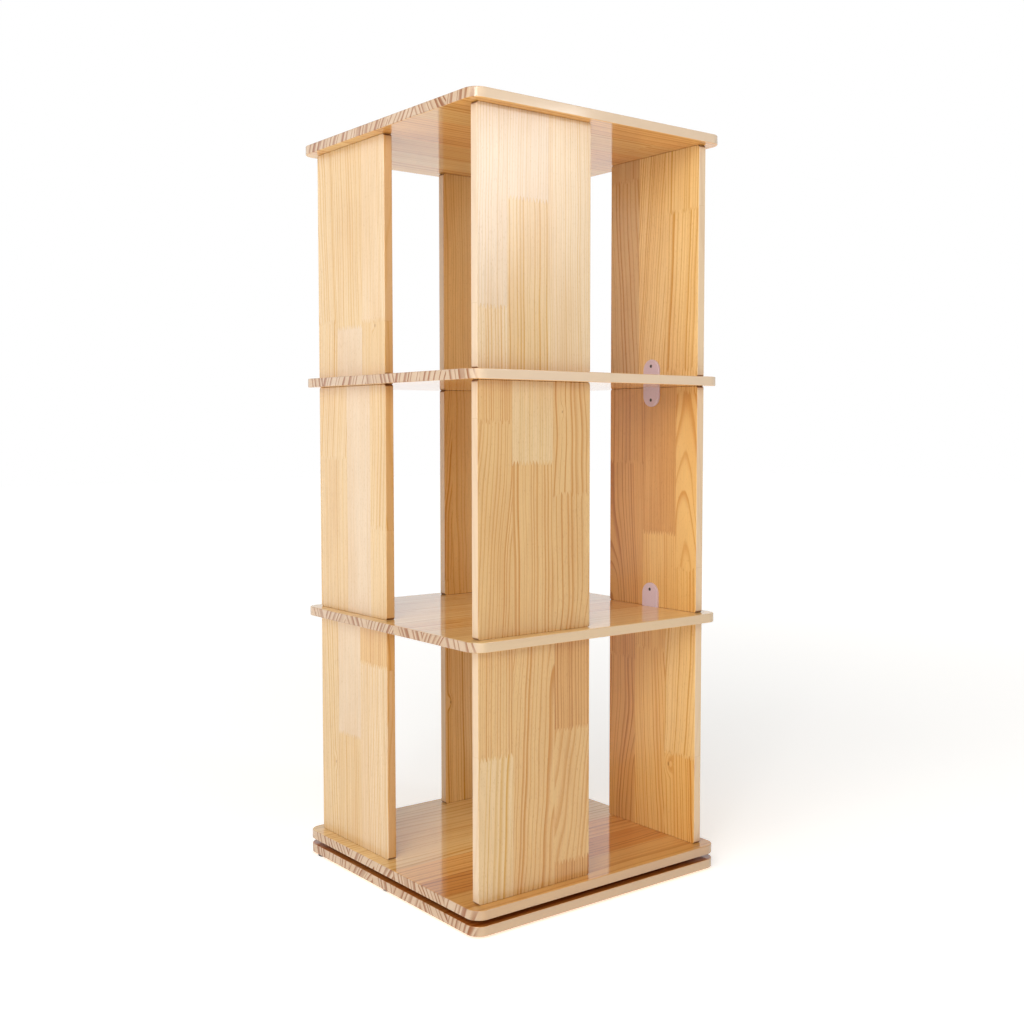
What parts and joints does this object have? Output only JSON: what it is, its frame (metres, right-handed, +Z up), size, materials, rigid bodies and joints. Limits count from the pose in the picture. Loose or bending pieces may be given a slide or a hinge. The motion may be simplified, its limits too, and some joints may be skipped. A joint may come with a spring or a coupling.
{
  "type": "revolving bookcase",
  "caption": "Square open bookcase in pine whose tiers, carried on pinwheel uprights, turn on a flat ball-bearing swivel over a fixed base board.",
  "frame": {"origin": "on the floor under the middle of the base board, on the axis that the case turns about", "axes": "+Z up; -Y towards the front, the picture's right-hand face; -X towards the left side, the picture's left-hand face; grain of the boards along X"},
  "size_m": [0.4, 0.4, 0.97],
  "materials": {
    "pine_board": "clear satin lacquer, grain along X",
    "pine_upright": "clear satin lacquer, grain upright",
    "strap_plastic": "moulded, fine grained",
    "screw_black": "black phosphate",
    "screw_steel": "zinc plated",
    "zinc_plate": "galvanised sheet",
    "ball_steel": "ground and polished",
    "cage_nylon": "natural nylon",
    "dowel_beech": "plain",
    "pad_rubber": "foam rubber"
  },
  "bodies": {
    "base": {"base_board": "pine_board", "base_feet": "pad_rubber", "swivel_lower_plate": "zinc_plate", "swivel_lower_screws": "screw_steel"},
    "ball_ring": {"ball_cage": "cage_nylon", "bearing_balls": "ball_steel"},
    "carousel": {"swivel_upper_plate": "zinc_plate", "swivel_upper_screws": "screw_steel", "bottom_shelf": "pine_board", "bottom_shelf_screws": "screw_steel", "top_board": "pine_board", "top_board_screws": "screw_steel", "lower_middle_shelf": "pine_board", "upper_middle_shelf": "pine_board", "lower_dowels": "dowel_beech", "lower_strap_screws": "screw_black", "lower_strap_front": "strap_plastic", "lower_strap_right": "strap_plastic", "lower_strap_back": "strap_plastic", "lower_strap_left": "strap_plastic", "upper_dowels": "dowel_beech", "upper_strap_screws": "screw_black", "upper_strap_front": "strap_plastic", "upper_strap_right": "strap_plastic", "upper_strap_back": "strap_plastic", "upper_strap_left": "strap_plastic", "lower_panel_front": "pine_upright", "lower_panel_right": "pine_upright", "lower_panel_back": "pine_upright", "lower_panel_left": "pine_upright", "middle_panel_front": "pine_upright", "middle_panel_right": "pine_upright", "middle_panel_back": "pine_upright", "middle_panel_left": "pine_upright", "upper_panel_front": "pine_upright", "upper_panel_right": "pine_upright", "upper_panel_back": "pine_upright", "upper_panel_left": "pine_upright"}
  },
  "joints": [
    {"name": "carousel_spin", "type": "hinge", "parent": "base", "child": "carousel", "pos_m": [0, 0, 0.0185], "axis": [0, 0, 1], "continuous": true},
    {"name": "ball_ring_spin", "type": "hinge", "parent": "base", "child": "ball_ring", "pos_m": [0, 0, 0.0185], "axis": [0, 0, 1], "continuous": true}
  ],
  "couplings": [
    {"joint": "ball_ring_spin", "follows": "carousel_spin", "ratio": 0.5}
  ]
}
